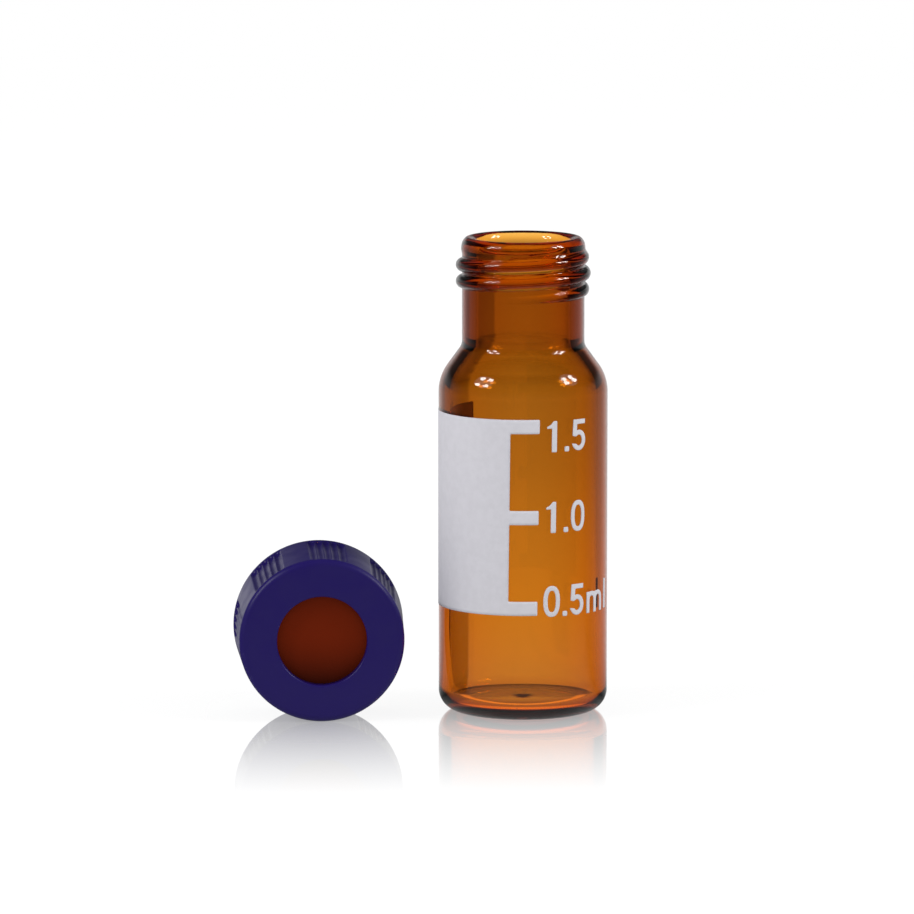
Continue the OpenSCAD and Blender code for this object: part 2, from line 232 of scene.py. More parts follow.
class Tree:
    """Adds nodes to the tree of a material, a world or a modifier."""

    def __init__(self, node_tree):
        self.node_tree = node_tree

    def node(self, kind, settings=None, sockets=None, output=0):
        """One node. Its settings are set first, then its sockets get their values or links."""
        node = self.node_tree.nodes.new(kind)
        for name, value in (settings or {}).items():
            if name == "stops":
                self.set_stops(node.color_ramp, value)
            else:
                setattr(node, name, value)
        for key, value in (sockets or {}).items():
            if isinstance(value, Number):
                self.node_tree.links.new(value.socket, node.inputs[key])
            else:
                node.inputs[key].default_value = value
        return Number(self, node.outputs[output]) if node.outputs else node

    @staticmethod
    def set_stops(ramp, stops):
        """Gives a colour ramp its stops, each a place and a grey."""
        while len(ramp.elements) < len(stops):
            ramp.elements.new(0.5)
        for element, (place, grey) in zip(ramp.elements, stops):
            element.position = place
            element.color = (grey, grey, grey, 1)

    def math(self, operation, *values):
        return self.node("ShaderNodeMath", {"operation": operation}, dict(enumerate(values)))

    def smooth_max(self, a, b, distance):
        return self.math("SMOOTH_MAX", a, b, distance)

    def split(self, vector):
        """The three parts of a vector."""
        parts = self.node("ShaderNodeSeparateXYZ", {}, {0: vector})
        return parts, parts.of("Y"), parts.of("Z")

    def join(self, x, y, z):
        return self.node("ShaderNodeCombineXYZ", {}, {0: x, 1: y, 2: z})

    def step(self, value, low, high, to_low=0.0, to_high=1.0):
        """Goes smoothly from one value to another between two places, and stays there."""
        return self.node(
            "ShaderNodeMapRange",
            {"interpolation_type": "SMOOTHSTEP"},
            {"Value": value, "From Min": low, "From Max": high, "To Min": to_low, "To Max": to_high},
        )

    def mix_colour(self, factor, a, b, blend="MIX"):
        return self.node(
            "ShaderNodeMix", {"data_type": "RGBA", "blend_type": blend}, {0: factor, 6: a, 7: b}, output=2
        )


class Shaper(Tree):
    """A Geometry Nodes tree with named inputs, which ends in Realize Instances and Set Material."""

    SOCKETS = {float: "NodeSocketFloat", int: "NodeSocketInt"}

    def __init__(self, name, inputs):
        super().__init__(bpy.data.node_groups.new(name, "GeometryNodeTree"))
        interface = self.node_tree.interface
        interface.new_socket("Geometry", in_out="INPUT", socket_type="NodeSocketGeometry")
        for label, kind in inputs.items():
            interface.new_socket(label, in_out="INPUT", socket_type=self.SOCKETS[kind])
        interface.new_socket("Material", in_out="INPUT", socket_type="NodeSocketMaterial")
        interface.new_socket("Geometry", in_out="OUTPUT", socket_type="NodeSocketGeometry")
        self.inputs = self.node("NodeGroupInput")

    def close(self, geometry):
        """Ends the tree with this geometry."""
        smooth = self.node("GeometryNodeSetShadeSmooth", {}, {"Geometry": geometry, "Shade Smooth": True})
        realized = self.node("GeometryNodeRealizeInstances", {}, {"Geometry": smooth})
        finished = self.node(
            "GeometryNodeSetMaterial", {}, {"Geometry": realized, "Material": self.inputs.of("Material")}
        )
        self.node("NodeGroupOutput", {}, {"Geometry": finished})

    def make(self, name, start, values, material):
        """Runs the tree on a start mesh and returns a plain mesh object."""
        source = bpy.data.objects.new(name + "_start", start)
        bpy.context.scene.collection.objects.link(source)
        modifier = source.modifiers.new(name, "NODES")
        modifier.node_group = self.node_tree
        values = {**values, "Material": material}
        for item in self.node_tree.interface.items_tree:
            if item.in_out == "INPUT" and item.name in values:
                modifier[item.identifier] = values[item.name]
        depsgraph = bpy.context.evaluated_depsgraph_get()
        mesh = bpy.data.meshes.new_from_object(source.evaluated_get(depsgraph), depsgraph=depsgraph)
        source.modifiers.remove(modifier)
        bpy.data.objects.remove(source)
        mesh.name = name
        piece = bpy.data.objects.new(name, mesh)
        bpy.context.scene.collection.objects.link(piece)
        if not mesh.polygons:
            raise RuntimeError(f"{name} came out empty")
        return piece


def add_helix(tree, theta, z):
    """How far a point lies along the axis from the thread's nearest strand, and how grown that strand is."""
    given = tree.inputs
    pitch = given.of("Thread pitch")
    rise = (z - given.of("Thread low end")) / pitch
    part = ((theta - given.of("Thread start")) / TURN).math("FRACT")
    turn = (rise - part).math("ROUND") + part
    grown = tree.step(turn.at_most(given.of("Thread turns") - turn), 0.0, given.of("Run out"))
    return (rise - turn) * pitch, grown


def make_turned_tree():
    """A tree that turns an outline, given as points in order, about Z, with a thread and grooves on it."""
    of_thread = ("pitch", "start", "turns", "low end", "height", "width", "radius")
    of_groove = ("step", "radius", "out", "low", "top", "turn")
    sizes = [f"Thread {size}" for size in of_thread] + [f"Groove {size}" for size in of_groove]
    sizes += ["Run out", "End width", "Blend", "Skirt radius", "Draft"]
    counts = ("Points", "Segments", "Panels", "Grooves")
    tree = Shaper("TurnedPiece", {**dict.fromkeys(counts, int), **dict.fromkeys(sizes, float)})
    given = tree.inputs
    points, segments = given.of("Points"), given.of("Segments")
    size = {"Size X": 1.0, "Size Y": 1.0, "Vertices X": points, "Vertices Y": segments + 1}
    grid = tree.node("GeometryNodeMeshGrid", {}, size)
    across, along, _ = tree.split(tree.node("GeometryNodeInputPosition"))
    row = ((across + 0.5) * (points - 1)).math("ROUND")
    theta = ((along + 0.5) * segments).math("ROUND") * TURN / segments
    position = tree.node("GeometryNodeInputPosition")
    outline = tree.node(
        "GeometryNodeSampleIndex",
        {"data_type": "FLOAT_VECTOR", "domain": "POINT"},
        {"Geometry": given, "Value": position, "Index": row},
    )
    radius, _, z = tree.split(outline)

    # The thread lies on points near its own radius: outwards with a height over 0 and inwards under 0
    at_wall = 0.02 * MM
    away, grown = add_helix(tree, theta, z)
    half = given.of("Thread width") / 2 * (grown * (1 - given.of("End width")) + given.of("End width"))
    height = given.of("Thread height")
    crest = (1 - ((away / half) ** 2).at_most(1.0)).math("SQRT") * abs(height) * grown
    blend = given.of("Blend")
    raised = crest * (1 + blend / 4 / abs(height)) - blend / 4
    ridge = tree.smooth_max(raised, 0.0, blend)
    on_wall = abs(radius - given.of("Thread radius")).math("LESS_THAN", at_wall)
    threaded = radius + ridge * height.math("SIGN") * on_wall

    # The grooves: each is round in section and runs along the skirt up to its top
    at_skirt, soft_edge = 0.12 * MM, 0.03 * MM
    sector = TURN / given.of("Panels")
    in_panel = theta - given.of("Groove turn")
    from_middle = in_panel - (in_panel / sector).math("ROUND") * sector
    spread = (given.of("Grooves") - 1) / 2
    place = from_middle / given.of("Groove step") + spread
    groove = place.math("ROUND").at_least(0.0).at_most(spread * 2)
    sideways = (place - groove) * given.of("Groove step")
    skirt = given.of("Skirt radius") - z * given.of("Draft")
    middle = skirt + given.of("Groove out")
    groove_radius = given.of("Groove radius")
    past_end = (z - given.of("Groove top")).at_least(given.of("Groove low") - z).at_least(0.0)
    reach = (groove_radius ** 2 - (sideways * middle) ** 2 - past_end ** 2).at_least(0.0).math("SQRT")
    floor_r = middle - reach
    cut = tree.smooth_max(threaded - floor_r, 0.0, soft_edge)
    on_skirt = abs(threaded - skirt).math("LESS_THAN", at_skirt)
    below_edge = tree.step(z, given.of("Groove top") + 0.25 * MM, given.of("Groove top") + 0.15 * MM)
    grooved = threaded - cut * on_skirt * below_edge * reach.math("GREATER_THAN", 0.0)

    position = tree.join(grooved * theta.math("COSINE"), grooved * theta.math("SINE"), z)
    placed = tree.node("GeometryNodeSetPosition", {}, {"Geometry": grid, "Position": position})
    outwards = tree.node("GeometryNodeFlipFaces", {}, {0: placed})
    tree.close(tree.node("GeometryNodeMergeByDistance", {}, {"Geometry": outwards, "Distance": WELD}))
    return tree


def make_print_tree():
    """A tree that gives a flat print its thickness and wraps it on the glass."""
    sizes = ("Glass radius", "Thickness", "Sink", "Twist", "Middle")
    tree = Shaper("PrintOnGlass", dict.fromkeys(sizes, float))
    given = tree.inputs
    total = given.of("Thickness") + given.of("Sink")
    back = tree.node("GeometryNodeFlipFaces", {}, {0: given})
    front = tree.node(
        "GeometryNodeExtrudeMesh",
        {"mode": "FACES"},
        {"Mesh": given, "Offset": tree.join(0.0, 0.0, 1.0), "Offset Scale": total, "Individual": False},
    )
    both = tree.node("GeometryNodeJoinGeometry")
    for part in (back, front):
        tree.node_tree.links.new(part.socket, both.socket.node.inputs[0])
    closed = tree.node("GeometryNodeMergeByDistance", {}, {"Geometry": both, "Distance": WELD})
    across, up, out = tree.split(tree.node("GeometryNodeInputPosition"))
    turned = across / given.of("Glass radius") + (up - given.of("Middle")) * given.of("Twist")
    radius = given.of("Glass radius") - given.of("Sink") + out
    position = tree.join(radius * turned.math("SINE"), -(radius * turned.math("COSINE")), up)
    tree.close(tree.node("GeometryNodeSetPosition", {}, {"Geometry": closed, "Position": position}))
    return tree


def arc(cx, cy, r, a0, a1, steps, high=None):
    """Points of an arc, angles in degrees. It is part of an oval where its height is given apart."""
    high = high or r
    return [
        (cx + r * math.cos(math.radians(a)), cy + high * math.sin(math.radians(a)))
        for a in np.linspace(a0, a1, steps + 1)
    ]


def line(start, end, steps):
    """Points of a line without its ends."""
    return [tuple(Vector(start).lerp(Vector(end), i / steps)) for i in range(1, steps)]


def slope_rise(run, low_r, high_r, slope):
    """Height of a slope made of two curves and a straight between two upright walls."""
    rounds = low_r + high_r
    return rounds * math.sin(slope) + (run - rounds * (1 - math.cos(slope))) / math.tan(slope)


def glass_outline(s):
    """The glass from the middle of the base, up its outside, over the lip, and down inside to the floor."""
    foot_r = BODY_R - s.heel
    hollow_r = foot_r - s.foot
    ball = (hollow_r ** 2 + s.push_up ** 2) / (2 * s.push_up)
    half = math.degrees(math.asin(hollow_r / ball))
    slope = math.degrees(s.shoulder_slope)
    mouth_r = s.neck_r - s.neck_wall
    bore_r = BODY_R - s.wall
    neck_z = VIAL_H - s.neck_height
    shoulder_z = neck_z - slope_rise(BODY_R - s.neck_r, s.shoulder, s.neck_fillet, s.shoulder_slope)
    inner_r = s.shoulder - s.wall
    throat_z = shoulder_z + slope_rise(bore_r - mouth_r, inner_r, s.throat_fillet, s.shoulder_slope)
    lip_r = s.neck_r + s.lip_step
    lip_z = VIAL_H - s.lip_height
    thread_z = VIAL_H - s.thread_drop - s.thread_width
    dish_r = s.dish / 2

    outside = [(0.0, s.push_up)] + arc(0, s.push_up - ball, ball, 90, 90 - half, 12)[1:]
    outside += arc(foot_r, s.heel, s.heel, -90, 0, 20)
    outside += line((BODY_R, s.heel), (BODY_R, shoulder_z), 24)
    outside += arc(BODY_R - s.shoulder, shoulder_z, s.shoulder, 0, slope, 20)
    outside += arc(s.neck_r + s.neck_fillet, neck_z, s.neck_fillet, 180 + slope, 180, 12)
    outside += line((s.neck_r, neck_z), (s.neck_r, thread_z), 8) + [(s.neck_r, thread_z)]
    outside += line((s.neck_r, thread_z), (s.neck_r, lip_z), 84) + [(s.neck_r, lip_z)]
    outside += arc(lip_r - s.lip_round, VIAL_H - s.lip_crown, s.lip_round, -4, 90, 18, s.lip_crown)

    inside = []
    dish_steps = 10
    for i in range(dish_steps + 1):
        dip = s.dish_depth * (1 + math.cos(math.pi * i / dish_steps)) / 2
        inside.append((dish_r * i / dish_steps, s.floor - dip))
    inside += arc(bore_r - s.inner_heel, s.floor + s.inner_heel, s.inner_heel, -90, 0, 14)
    inside += line((bore_r, s.floor + s.inner_heel), (bore_r, shoulder_z), 20)
    inside += arc(bore_r - inner_r, shoulder_z, inner_r, 0, slope, 16)
    inside += arc(mouth_r + s.throat_fillet, throat_z, s.throat_fillet, 180 + slope, 180, 12)
    inside += line((mouth_r, throat_z), (mouth_r, VIAL_H - s.lip_crown), 16)
    inside += arc(mouth_r + s.lip_round, VIAL_H - s.lip_crown, s.lip_round, 180, 90, 18, s.lip_crown)
    return outside + inside[::-1]


def cap_outline(s):
    """The cap from its open end, up the skirt, over the top, through the hole and down the bore."""
    outer_r = s.bore + s.skirt
    taper = math.tan(s.draft)
    top_r = outer_r - (s.height - s.edge) * taper
    seat_z = s.height - s.plate
    bead_z = seat_z - s.stack - s.bead
    # The points lie close together where the grooves begin and end
    low_z, high_z = s.rim_band + 0.5 * MM, s.height - s.groove_stop - 0.4 * MM
    skirt_start, groove_start, skirt_end = ((outer_r - z * taper, z) for z in (s.rim, low_z, high_z))
    outline = arc(outer_r - s.rim, s.rim, s.rim, -90, 0, 4)[:-1] + [skirt_start]
    outline += line(skirt_start, groove_start, 16) + [groove_start]
    outline += line(groove_start, skirt_end, 6) + [skirt_end]
    outline += line(skirt_end, (top_r, s.height - s.edge), 16)
    outline += arc(top_r - s.edge, s.height - s.edge, s.edge, 0, 90, 10)
    outline += line((top_r - s.edge, s.height), (s.hole + s.hole_edge, s.height), 4)
    outline += arc(s.hole + s.hole_edge, s.height - s.hole_edge, s.hole_edge, 90, 180, 6)
    outline += [(s.hole, seat_z)] + line((s.hole, seat_z), (s.bore, seat_z), 4) + [(s.bore, seat_z)]
    outline += arc(s.bore, bead_z, s.bead, 90, 270, 10)
    outline += line((s.bore, bead_z - s.bead), (s.bore, s.rim), 40)
    outline += arc(s.bore + s.rim, s.rim, s.rim, 180, 270, 4)
    return outline + [outline[0]]


def softened(points, r):
    """Rounds the corners of a closed outline."""
    soft = []
    count = len(points)
    for i, here in enumerate(points):
        here = Vector(here)
        to_last = Vector(points[i - 1]) - here
        to_next = Vector(points[(i + 1) % count]) - here
        bend = abs(math.pi - to_last.angle(to_next))
        if bend < SHARP:
            soft.append(tuple(here))
            continue
        back = min(r, to_last.length / 2, to_next.length / 2)
        start, end = here + to_last.normalized() * back, here + to_next.normalized() * back
        for t in (0, 0.25, 0.5, 0.75, 1):
            soft.append(tuple(start.lerp(here, t).lerp(here.lerp(end, t), t)))
    return soft


def densified(points, step):
    """Adds points to a closed outline so that none lie further apart than a step."""
    dense = []
    same_place = 1e-9
    for i, here in enumerate(points):
        after = points[(i + 1) % len(points)]
        gap = math.dist(here, after)
        if gap < same_place:
            continue
        dense.append(here)
        dense += line(here, after, max(1, math.ceil(gap / step)))
    return dense


def inside_loops(x, y, loops):
    """Whether a point lies within an odd number of closed outlines."""
    odd = False
    for loop in loops:
        for (ax, ay), (bx, by) in zip(loop, loop[1:] + loop[:1]):
            if (ay > y) != (by > y) and x < (bx - ax) * (y - ay) / (by - ay) + ax:
                odd = not odd
    return odd


def flat_print(loops, step):
    """Vertices and triangles that fill closed outlines evenly, so that the sheet bends smoothly."""
    loops = [densified(loop, step) for loop in loops]
    points, edges = [], []
    for loop in loops:
        first = len(points)
        points += loop
        edges += [(first + i, first + (i + 1) % len(loop)) for i in range(len(loop))]
    low, high = np.min(points, axis=0), np.max(points, axis=0)
    rows = max(2, round((high[1] - low[1]) / step))
    columns = max(2, round((high[0] - low[0]) / step))
    outline = np.array(points)
    clearance = step * 0.6
    for i in range(1, rows):
        for j in range(1, columns):
            x = low[0] + (high[0] - low[0]) * (j + (i % 2) / 2) / columns
            y = low[1] + (high[1] - low[1]) * i / rows
            nearest = np.min(np.sum((outline - (x, y)) ** 2, axis=1))
            if nearest > clearance ** 2 and inside_loops(x, y, loops):
                points.append((x, y))
    # The points are taken in millimetres, because the fill works to a fixed closeness
    filled = delaunay_2d_cdt([Vector(p) / MM for p in points], edges, [], 0, 1e-6)
    corners = [v * MM for v in filled[0]]
    triangles = []
    for face in filled[2]:
        middle = sum((corners[i] for i in face), Vector((0, 0))) / 3
        if inside_loops(middle.x, middle.y, loops):
            triangles.append(face)
    return corners, triangles


def print_mesh(name, sheets):
    """One flat mesh of several prints, each given as its outlines, a step and the place of its middle."""
    corners, triangles = [], []
    for loops, step, (x, y) in sheets:
        points, faces = flat_print(loops, step)
        triangles += [[i + len(corners) for i in face] for face in faces]
        corners += [(p.x + x, p.y + y, 0) for p in points]
    mesh = bpy.data.meshes.new(name)
    mesh.from_pydata(corners, [], triangles)
    return mesh


def squarer(part):
    """A sine or cosine, drawn outwards so that an oval gets fuller corners."""
    return math.copysign(abs(part) ** (2 / 2.35), part)


def figure_zero(w, h, t):
    """An upright oval ring."""
    loops = []
    for rx, ry in ((w / 2, h / 2), (w / 2 - t * 0.92, h / 2 - t)):
        turn = np.linspace(0, TURN, 48, endpoint=False)
        loops.append([(rx * squarer(math.cos(a)), ry * squarer(math.sin(a))) for a in turn])
    return loops


def figure_one(w, h, t):
    """A stem with a pointed flag at its top left."""
    stem, flag, top, left = t * 1.12, t * 1.1, h / 2, -t * 0.43
    loop = [(0, -top), (stem, -top), (stem, top), (stem * 0.35, top), (-flag * 0.3, top - t * 0.85)]
    loop += [(-flag, top - t * 1.2), (-flag, top - t * 1.6), (0, top - t * 1.55)]
    return [softened([(left + x, y) for x, y in loop], t * 0.2)]


def figure_five(w, h, t):
    """A top bar, a short stem and an open bowl."""
    right, top = w / 2, h / 2
    ry = h * 0.33
    cy = ry - top
    stem = -right * 0.8
    loop = [(right * 0.92, top - t), (right * 0.92, top), (stem, top), (-right * 0.9, -h * 0.02)]
    loop += [(-right * 0.9 + t * 0.8, -h * 0.05)]
    loop += arc(0, cy, right - t, 105, -140, 19, ry - t)
    loop += [(-right * 0.98, cy - ry * 0.28)]
    loop += arc(0, cy, right, -152, 108, 25, ry)
    loop += [(stem + t * 0.98, top - t)]
    return [softened(loop[::-1], t * 0.16)]


def figure_point(t):
    """A small soft square."""
    r = t * POINT_HALF
    return [softened([(-r, -r), (r, -r), (r, r), (-r, r)], t * 0.3)]


def letter_m(w, h, t):
    """Three stems under two arches."""
    inner = (w - 3 * t) / 2
    outer_r = inner / 2 + t
    right = (inner + t) / 2
    spring = h / 2 - outer_r * 0.95
    loop = [(-w / 2, h / 2), (-w / 2, -h / 2), (-w / 2 + t, -h / 2)]
    for cx in (-right, right):
        loop += arc(cx, spring, inner / 2, 180, 0, 6)
        loop += [(cx + inner / 2, -h / 2), (cx + inner / 2 + t, -h / 2)]
    loop += arc(right, spring, outer_r, 0, 110, 6)
    loop += arc(-right, spring, outer_r, 62, 112, 4)
    loop += [(-w / 2 + t, h / 2)]
    return [softened(loop, t * 0.12)]


def letter_l(h, t):
    """A plain stem."""
    return [softened([(-t / 2, -h / 2), (t / 2, -h / 2), (t / 2, h / 2), (-t / 2, h / 2)], t * 0.16)]


def new_material(name):
    """An empty material and its tree."""
    material = bpy.data.materials.new(name)
    material.use_nodes = True
    material.node_tree.nodes.clear()
    return material, Tree(material.node_tree)


def finish_material(tree, surface, volume=None):
    sockets = {"Surface": surface}
    if volume:
        sockets["Volume"] = volume
    tree.node("ShaderNodeOutputMaterial", {}, sockets)


def amber_glass_material(clear):
    """Clear amber glass: it takes out light by the length of the path in it."""
    material, tree = new_material("amber_glass")
    taken = [-math.log(share) / MM for share in clear]
    density = max(taken)
    skin = {"Base Color": (1, 1, 1, 1), "Roughness": 0.01, "IOR": 1.52, "Transmission Weight": 1.0}
    surface = tree.node("ShaderNodeBsdfPrincipled", {}, skin)
    body = {"Color": (*(1 - t / density for t in taken), 1), "Density": density}
    finish_material(tree, surface, tree.node("ShaderNodeVolumeAbsorption", {}, body))
    return material


def grain(tree, noise, strength, depth):
    """A cloudy noise in a skin, and the bump that it makes."""
    place = tree.node("ShaderNodeTexCoord").of("Object")
    cloud = tree.node("ShaderNodeTexNoise", {}, {"Vector": place, **noise})
    return cloud, tree.node("ShaderNodeBump", {}, {"Strength": strength, "Distance": depth, "Height": cloud})


def enamel_material(tint):
    """Fired enamel: matt, faintly mottled."""
    material, tree = new_material("fired_enamel")
    cloud, bump = grain(tree, {"Scale": 1800.0, "Detail": 4.0, "Roughness": 0.6}, 0.15, 0.01 * MM)
    shade = tree.step(cloud, 0.3, 0.7, 0.97, 1.02)
    mottled = tree.mix_colour(1.0, (*tint, 1), shade, "MULTIPLY")
    sockets = {"Base Color": mottled, "Roughness": 0.7, "Specular IOR Level": 0.3, "Normal": bump}
    finish_material(tree, tree.node("ShaderNodeBsdfPrincipled", {}, sockets))
    return material


def cap_material(tint):
    """Moulded plastic with a satin skin."""
    material, tree = new_material("cap_plastic")
    cloud, bump = grain(tree, {"Scale": 700.0, "Detail": 3.0}, 0.12, 0.02 * MM)
    rough = tree.step(cloud, 0.3, 0.7, 0.32, 0.4)
    sockets = {"Base Color": (*tint, 1), "Roughness": rough, "Specular IOR Level": 0.27, "Normal": bump}
    finish_material(tree, tree.node("ShaderNodeBsdfPrincipled", {}, sockets))
    return material


def painted_shade_disc_material(name, tint, roughness, specular, low, high):
    """One colour with one roughness and one share of gloss, and painted shade that darkens it towards the
    foot of the disc.
    """
    material, tree = new_material(name)
    _, _, z = tree.split(tree.node("ShaderNodeTexCoord").of("Object"))
    # Painted shade: the colour falls to a twentieth of itself at the disc's foot
    shade = tree.step(z, low, low + (high - low) * 0.55, 0.05, 1.0)
    painted_shade_colour = tree.mix_colour(1.0, (*tint, 1), shade, "MULTIPLY")
    sockets = {"Base Color": painted_shade_colour, "Roughness": roughness, "Specular IOR Level": specular}
    finish_material(tree, tree.node("ShaderNodeBsdfPrincipled", {}, sockets))
    return material


def disc_face(node):
    """Middle and outward direction of the flat face of a disc that looks most towards the front."""
    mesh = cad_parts[node].data
    parallel = 0.9999
    flat = max(
        (p for p in mesh.polygons if p.normal.y < 0),
        key=lambda p: sum(q.area for q in mesh.polygons if q.normal.dot(p.normal) > parallel),
    )
    face = [p for p in mesh.polygons if p.normal.dot(flat.normal) > parallel]
    area = sum(p.area for p in face)
    return sum((p.center * p.area for p in face), Vector()) / area, flat.normal.copy()


def make_turned(name, outline, s, values, material):
    """A piece turned from an outline of radii and heights, with the sizes that glass and cap have alike."""
    mesh = bpy.data.meshes.new(name + "_outline")
    mesh.from_pydata([(r, 0, z) for r, z in outline], [], [])
    values = {
        "Points": len(outline),
        "Segments": s.segments,
        "Thread pitch": s.thread_pitch,
        "Thread turns": s.thread_turns,
        "Thread width": s.thread_width,
        **values,
    }
    return make_turned_tree().make(name, mesh, values, material)


class VialOperator:
    """What every operator here shares."""

    bl_options = {"REGISTER", "UNDO"}


class VIAL_OT_glass(VialOperator, Operator):
    """Make the amber glass with its screw thread"""

    bl_idname = "vial.make_glass"
    bl_label = "Glass"

    def execute(self, context):
        s = context.scene.vial_glass
        values = {
            "Thread start": s.thread_start,
            "Thread low end": VIAL_H - s.thread_drop,
            "Thread height": s.thread_height,
            "Thread radius": s.neck_r,
            "Run out": s.run_out,
            "End width": 0.5,
            "Blend": 0.12 * MM,
            "Panels": 1,
            "Grooves": 1,
            "Groove step": 1.0,
            "Groove radius": 0.0,
            "Skirt radius": 1.0,
        }
        material = amber_glass_material(context.scene.vial_colours.amber_clear)
        piece = make_turned("amber_vial", glass_outline(s), s, values, material)
        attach(piece, "root")
        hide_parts("vial_glass")
        return {"FINISHED"}


class VIAL_OT_patch(VialOperator, Operator):
    """Make the white write-on field with its three bars"""

    bl_idname = "vial.make_patch"
    bl_label = "Write-on patch"

    def execute(self, context):
        s = context.scene.vial_print
        low, high = PATCH_LOW.z, PATCH_HIGH.z
        middle = low + (high - low - s.bar) / 2
        back, front, end = (a * BODY_R for a in (s.field_back, s.field_front, s.bar_end))
        loop = [(back, low), (end, low), (end, low + s.bar), (front, low + s.bar)]
        loop += [(front, middle), (end, middle), (end, middle + s.bar), (front, middle + s.bar)]
        loop += [(front, high - s.bar), (end, high - s.bar), (end, high), (back, high)]
        start = print_mesh("patch_outline", [([softened(loop, s.corner)], 0.2 * MM, (0, 0))])
        make_print(context, "printed_patch", start, "write_on_patch")
        return {"FINISHED"}


class VIAL_OT_figures(VialOperator, Operator):
    """Make the figures of the volume scale"""

    bl_idname = "vial.make_figures"
    bl_label = "Scale figures"

    # Degrees from the front to the middle of each, and the letters' sizes as shares of a figure's
    FIRST, POINT, SECOND, LETTER_M, LETTER_L = 20.0, 29.8, 39.6, 57.9, 73.3
    M_WIDTH, M_HEIGHT, M_STROKE, L_HEIGHT = 1.57, 0.68, 0.95, 0.96

    def execute(self, context):
        s = context.scene.vial_print
        w, h, t = s.figure_width, s.figure_height, s.stroke
        middle = (PATCH_LOW.z + PATCH_HIGH.z) / 2
        rows = (
            (s.upper_row, figure_one, figure_five),
            (0.0, figure_one, figure_zero),
            (-s.lower_row, figure_zero, figure_five),
        )
        shapes = []
        for rise, first, second in rows:
            shapes.append((first(w, h, t), self.FIRST, rise))
            shapes.append((figure_point(t), self.POINT, rise - h / 2 + t * POINT_HALF))
            shapes.append((second(w, h, t), self.SECOND, rise))
        m_height = h * self.M_HEIGHT
        m = letter_m(w * self.M_WIDTH, m_height, t * self.M_STROKE)
        shapes.append((m, self.LETTER_M, -s.lower_row - (h - m_height) / 2))
        shapes.append((letter_l(h * self.L_HEIGHT, t), self.LETTER_L, -s.lower_row))
        sheets = []
        for loops, degrees, rise in shapes:
            sheets.append((loops, 0.09 * MM, (math.radians(degrees) * BODY_R, middle + rise)))
        start = print_mesh("figure_outlines", sheets)
        make_print(context, "printed_figures", start, "scale_figures")
        return {"FINISHED"}


def make_print(context, name, start, node):
    """Wraps a flat print on the glass as a piece that stands for a node."""
    s = context.scene.vial_print
    height = PATCH_HIGH.z - PATCH_LOW.z
    values = {
        "Glass radius": BODY_R,
        "Thickness": s.thickness,
        "Sink": s.sink,
        "Twist": s.lean / height,
        "Middle": (PATCH_LOW.z + PATCH_HIGH.z) / 2,
    }
    tint = context.scene.vial_colours.enamel
    material = bpy.data.materials.get("fired_enamel") or enamel_material(tint)
    piece = make_print_tree().make(name, start, values, material)
    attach(piece, "root")
    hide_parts(node)


class VIAL_OT_cap(VialOperator, Operator):
    """Make the screw cap with its grip grooves, and place it by its septum"""

    bl_idname = "vial.make_cap"
    bl_label = "Cap"

    def execute(self, context):
        s = context.scene.vial_cap
        bead_low = s.height - s.plate - s.stack - 2 * s.bead
        rise = s.thread_pitch * s.thread_turns
        values = {
            "Thread start": 0.0,
            "Thread low end": (bead_low - rise) / 2,
            "Thread height": -s.thread_height,
            "Thread radius": s.bore,
            "Run out": 0.14,
            "End width": 1.0,
            "Blend": 0.06 * MM,
            "Panels": s.panels,
            "Grooves": s.grooves,
            "Groove step": s.groove_step,
            "Groove radius": s.groove_radius,
            "Groove out": s.groove_out,
            "Groove low": s.rim_band + s.groove_radius * 0.4,
            "Groove top": s.height - s.groove_stop - s.groove_radius * 0.4,
            "Groove turn": s.panel_turn - TURN / 4,
            "Skirt radius": s.bore + s.skirt,
            "Draft": math.tan(s.draft),
        }
        material = cap_material(context.scene.vial_colours.cap)
        piece = make_turned("screw_cap", cap_outline(s), s, values, material)
        face, outward = disc_face("septum")
        open_end = face - outward * (s.height - s.plate)
        sideways = Vector((0, 0, 1)).cross(outward).normalized()
        upward = outward.cross(sideways)
        # The cap is drawn with its top along Z and its rest line along -Y
        turned = Matrix((sideways, upward, outward)).transposed().to_4x4()
        piece.data.transform(Matrix.Translation(open_end) @ turned)
        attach(piece, "root")
        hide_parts("cap")
        return {"FINISHED"}


class VIAL_OT_septum(VialOperator, Operator):
    """Give the septum and its facing their finishes, with painted shade towards the foot of each"""

    bl_idname = "vial.make_septum"
    bl_label = "Septum"

    def execute(self, context):
        colours = context.scene.vial_colours
        # Each disc's colour is darkened towards its foot: painted shade
        for node, name, tint, roughness, specular in (
            ("septum", "septum_rubber", colours.septum, 0.6, 0.05),
            ("septum_facing", "facing_film", colours.facing, 0.45, 0.4),
        ):
            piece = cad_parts[node]
            piece.data.materials.clear()
            low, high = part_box(node)
            piece.data.materials.append(painted_shade_disc_material(name, tint, roughness, specular, low.z, high.z))
        return {"FINISHED"}


class VIAL_OT_stage(VialOperator, Operator):
    """Make the white floor, the lamps and the camera"""

    bl_idname = "vial.make_stage"
    bl_label = "Stage"

    def execute(self, context):
        make_floor()
        make_world(context.scene)
        make_lamps()
        make_camera(context.scene)
        context.scene.view_settings.view_transform = "Standard"
        return {"FINISHED"}


def ray_kinds(tree):
    """1 for rays that end in glass or gloss, and 1 for those of them that glass or gloss throws back."""
    path = tree.node("ShaderNodeLightPath")
    soft = path.of("Is Glossy Ray") * (1 - path.of("Is Singular Ray"))
    thrown = soft * path.of("Is Reflection Ray")
    through = path.of("Is Transmission Ray")
    return path, (thrown + through).at_most(1.0), thrown


def bounced(path, through, mirrored):
    """1 for rays that went through this many faces of glass and were mirrored this many times."""
    crossed = abs(path.of("Transmission Depth") - through).math("LESS_THAN", 0.5)
    turned_back = abs(path.of("Glossy Depth") - mirrored).math("LESS_THAN", 0.5)
    return turned_back * crossed


def through_one_wall(path):
    """What is seen through one wall only, as in the mouth, is lit brighter."""
    return bounced(path, 2, 0) * 0.5 + 1


